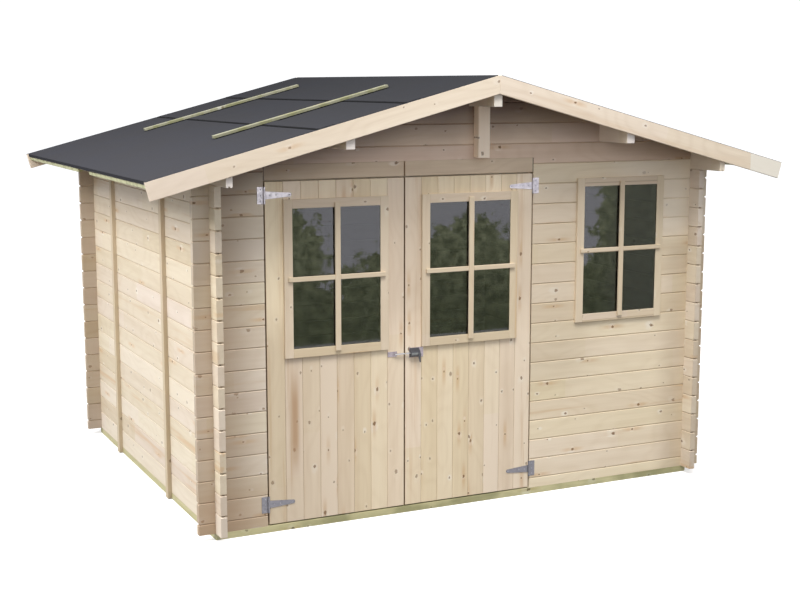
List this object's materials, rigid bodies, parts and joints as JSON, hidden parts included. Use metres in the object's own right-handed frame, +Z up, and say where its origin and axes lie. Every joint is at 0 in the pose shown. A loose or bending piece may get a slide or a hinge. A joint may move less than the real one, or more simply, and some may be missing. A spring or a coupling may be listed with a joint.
{
  "type": "garden shed",
  "caption": "Log-built garden shed with crossed corners, a low felted gable roof, a pair of glazed plank doors that swing out, and a side window.",
  "frame": {"origin": "on the ground under the middle of the roof's outline", "axes": "+X along the front to the right as seen from the front, +Y from the front to the back, +Z up"},
  "size_m": [3.8312, 2.907, 2.4063],
  "materials": {
    "log_wood": "planed untreated spruce",
    "joinery_wood": "planed untreated spruce",
    "trim_wood": "planed untreated spruce",
    "treated_wood": "pressure-treated sawn softwood",
    "felt": "mineral-surfaced roofing felt",
    "glass": "clear pane",
    "zinc": "zinc-plated pressed steel"
  },
  "bodies": {
    "shed": {"front_bearer": "treated_wood", "back_bearer": "treated_wood", "left_bearer": "treated_wood", "right_bearer": "treated_wood", "floor_joists": "treated_wood", "floor": "log_wood", "front_wall_left": "log_wood", "front_wall_middle": "log_wood", "front_wall_below_window": "log_wood", "front_wall_above_window": "log_wood", "front_wall_right": "log_wood", "front_gable": "log_wood", "back_wall": "log_wood", "back_gable": "log_wood", "left_wall": "log_wood", "right_wall": "log_wood", "left_top_log": "log_wood", "right_top_log": "log_wood", "ridge_purlin": "log_wood", "left_purlin": "log_wood", "right_purlin": "log_wood", "left_roof_boards": "log_wood", "right_roof_boards": "log_wood", "left_felt": "felt", "right_felt": "felt", "left_felt_laths": "treated_wood", "right_felt_laths": "treated_wood", "left_eave_strips": "treated_wood", "right_eave_strips": "treated_wood", "front_left_bargeboard": "trim_wood", "front_right_bargeboard": "trim_wood", "back_left_bargeboard": "trim_wood", "back_right_bargeboard": "trim_wood", "front_gable_post": "log_wood", "back_gable_post": "log_wood", "left_wall_battens": "treated_wood", "right_wall_battens": "treated_wood", "door_head_boards": "joinery_wood", "left_jamb": "log_wood", "right_jamb": "log_wood", "head_rail": "log_wood", "window_frame": "joinery_wood", "window_glass": "glass", "left_hinge_plates": "zinc", "right_hinge_plates": "zinc"},
    "left_leaf": {"left_door": "joinery_wood", "left_door_ledges": "joinery_wood", "left_door_window": "joinery_wood", "left_door_glass": "glass", "left_door_straps": "zinc", "latch_bar": "zinc"},
    "right_leaf": {"right_door": "joinery_wood", "right_door_ledges": "joinery_wood", "right_door_window": "joinery_wood", "right_door_glass": "glass", "right_door_straps": "zinc", "latch_catch": "zinc"}
  },
  "joints": [
    {"name": "left_door_hinge", "type": "hinge", "parent": "shed", "child": "left_leaf", "pos_m": [-1.216, -1.1645, 0.95], "axis": [0, 0, -1], "range_deg": [0, 125]},
    {"name": "right_door_hinge", "type": "hinge", "parent": "shed", "child": "right_leaf", "pos_m": [0.386, -1.1645, 0.95], "axis": [0, 0, 1], "range_deg": [0, 150]}
  ]
}
